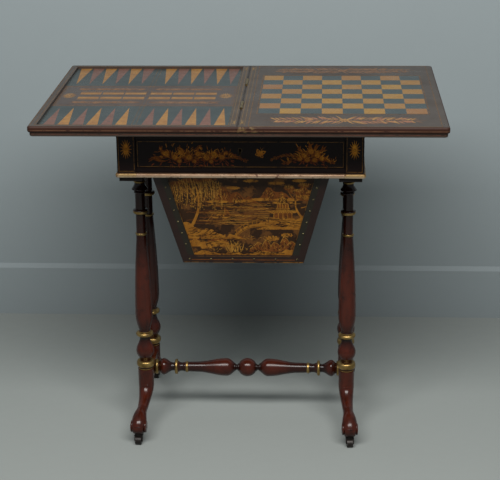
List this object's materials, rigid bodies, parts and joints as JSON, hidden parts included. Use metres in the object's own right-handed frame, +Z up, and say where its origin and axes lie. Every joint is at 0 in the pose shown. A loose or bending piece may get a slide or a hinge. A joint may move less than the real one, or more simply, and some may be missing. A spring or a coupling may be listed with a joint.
{
  "type": "games and work table",
  "caption": "Fold over games table: hinged tray and chessboard leaves swivel on a turned base with a drawer and a tapered sliding work box, on castors.",
  "frame": {"origin": "on the floor under the centre of the base and of the open top", "axes": "+Z up, -Y towards the drawer front, +X towards the chessboard leaf"},
  "size_m": [0.816, 0.55, 0.7331],
  "materials": {
    "top_lacquer": "black japanned lacquer with gilt game boards, satin and a little worn",
    "frieze_lacquer": "black japanned lacquer with gilt floral sprays, glossy",
    "gilt_moulding": "dark lacquer with a rubbed gilt rounded edge",
    "leg_lacquer": "dark red brown lacquer with gilt rings, glossy",
    "box_lacquer": "black lacquer with a gilt landscape, satin",
    "plain_wood": "plain oiled secondary wood",
    "brass": "aged brass",
    "steel": "dull steel",
    "castor_metal": "brass gone dark"
  },
  "bodies": {
    "base": {"corner_blocks": "frieze_lacquer", "frieze_end_left": "frieze_lacquer", "frieze_end_right": "frieze_lacquer", "frieze_back": "frieze_lacquer", "frieze_top_strip": "frieze_lacquer", "drawer_top_rail": "frieze_lacquer", "drawer_bottom_rail": "frieze_lacquer", "pivot_board": "plain_wood", "drawer_runners": "plain_wood", "dust_board": "plain_wood", "base_frame_left": "gilt_moulding", "base_frame_right": "gilt_moulding", "base_frame_back": "gilt_moulding", "end_cleat_left": "leg_lacquer", "end_cleat_right": "leg_lacquer", "column_rear_right": "leg_lacquer", "column_rear_left": "leg_lacquer", "column_front_right": "leg_lacquer", "column_front_left": "leg_lacquer", "foot_rear_right": "leg_lacquer", "foot_rear_left": "leg_lacquer", "foot_front_right": "leg_lacquer", "foot_front_left": "leg_lacquer", "end_rail_left": "leg_lacquer", "end_rail_right": "leg_lacquer", "stretcher": "leg_lacquer", "castor_sockets": "castor_metal"},
    "top": {"chess_leaf": "top_lacquer", "pivot_plate": "steel", "pivot_nut": "steel", "swivel_stop_peg": "plain_wood", "hinge_plates_fixed": "brass", "hinge_pins": "steel", "pivot_screws": "steel"},
    "tray_leaf": {"tray_panel": "top_lacquer", "tray_rim": "top_lacquer", "hinge_plates_folding": "brass"},
    "drawer": {"drawer_front": "frieze_lacquer", "drawer_sides": "plain_wood", "drawer_back": "plain_wood", "drawer_bottom": "plain_wood", "drawer_lock": "brass", "keyhole_escutcheon": "brass"},
    "bolt": {"lock_bolt": "brass"},
    "work_box": {"work_box_front": "box_lacquer", "work_box_back": "box_lacquer", "work_box_walls": "box_lacquer", "work_box_floor": "plain_wood", "work_box_front_rail": "gilt_moulding", "work_box_frame": "gilt_moulding", "work_box_border": "box_lacquer", "work_box_studs": "brass"},
    "castor_rear_right": {"castor_fork_rear_right": "castor_metal"},
    "wheel_rear_right": {"castor_wheel_rear_right": "castor_metal"},
    "castor_rear_left": {"castor_fork_rear_left": "castor_metal"},
    "wheel_rear_left": {"castor_wheel_rear_left": "castor_metal"},
    "castor_front_right": {"castor_fork_front_right": "castor_metal"},
    "wheel_front_right": {"castor_wheel_front_right": "castor_metal"},
    "castor_front_left": {"castor_fork_front_left": "castor_metal"},
    "wheel_front_left": {"castor_wheel_front_left": "castor_metal"}
  },
  "joints": [
    {"name": "top_swivel", "type": "hinge", "parent": "base", "child": "top", "pos_m": [0.102, 0.102, 0.709], "axis": [0, 0, 1], "range_deg": [-90, 0]},
    {"name": "leaf_fold", "type": "hinge", "parent": "top", "child": "tray_leaf", "pos_m": [0, 0, 0.7302], "axis": [0, 1, 0], "range_deg": [0, 180]},
    {"name": "drawer_slide", "type": "slide", "parent": "base", "child": "drawer", "axis": [0, -1, 0], "range_m": [0, 0.27]},
    {"name": "lock_bolt_throw", "type": "slide", "parent": "drawer", "child": "bolt", "axis": [0, 0, 1], "range_m": [0, 0.006]},
    {"name": "work_box_slide", "type": "slide", "parent": "base", "child": "work_box", "axis": [0, -1, 0], "range_m": [0, 0.26]},
    {"name": "castor_swivel_rear_right", "type": "hinge", "parent": "base", "child": "castor_rear_right", "pos_m": [0.22591, 0.16476, 0.0208], "axis": [0, 0, 1], "continuous": true},
    {"name": "wheel_spin_rear_right", "type": "hinge", "parent": "castor_rear_right", "child": "wheel_rear_right", "pos_m": [0.22646, 0.17274, 0.009], "axis": [0.9976, -0.0698, 0], "continuous": true},
    {"name": "castor_swivel_rear_left", "type": "hinge", "parent": "base", "child": "castor_rear_left", "pos_m": [-0.22591, 0.16476, 0.0208], "axis": [0, 0, 1], "continuous": true},
    {"name": "wheel_spin_rear_left", "type": "hinge", "parent": "castor_rear_left", "child": "wheel_rear_left", "pos_m": [-0.22646, 0.17274, 0.009], "axis": [0.9976, 0.0698, 0], "continuous": true},
    {"name": "castor_swivel_front_right", "type": "hinge", "parent": "base", "child": "castor_front_right", "pos_m": [0.22591, -0.16476, 0.0208], "axis": [0, 0, 1], "continuous": true},
    {"name": "wheel_spin_front_right", "type": "hinge", "parent": "castor_front_right", "child": "wheel_front_right", "pos_m": [0.22646, -0.17274, 0.009], "axis": [0.9976, 0.0698, 0], "continuous": true},
    {"name": "castor_swivel_front_left", "type": "hinge", "parent": "base", "child": "castor_front_left", "pos_m": [-0.22591, -0.16476, 0.0208], "axis": [0, 0, 1], "continuous": true},
    {"name": "wheel_spin_front_left", "type": "hinge", "parent": "castor_front_left", "child": "wheel_front_left", "pos_m": [-0.22646, -0.17274, 0.009], "axis": [0.9976, -0.0698, 0], "continuous": true}
  ]
}
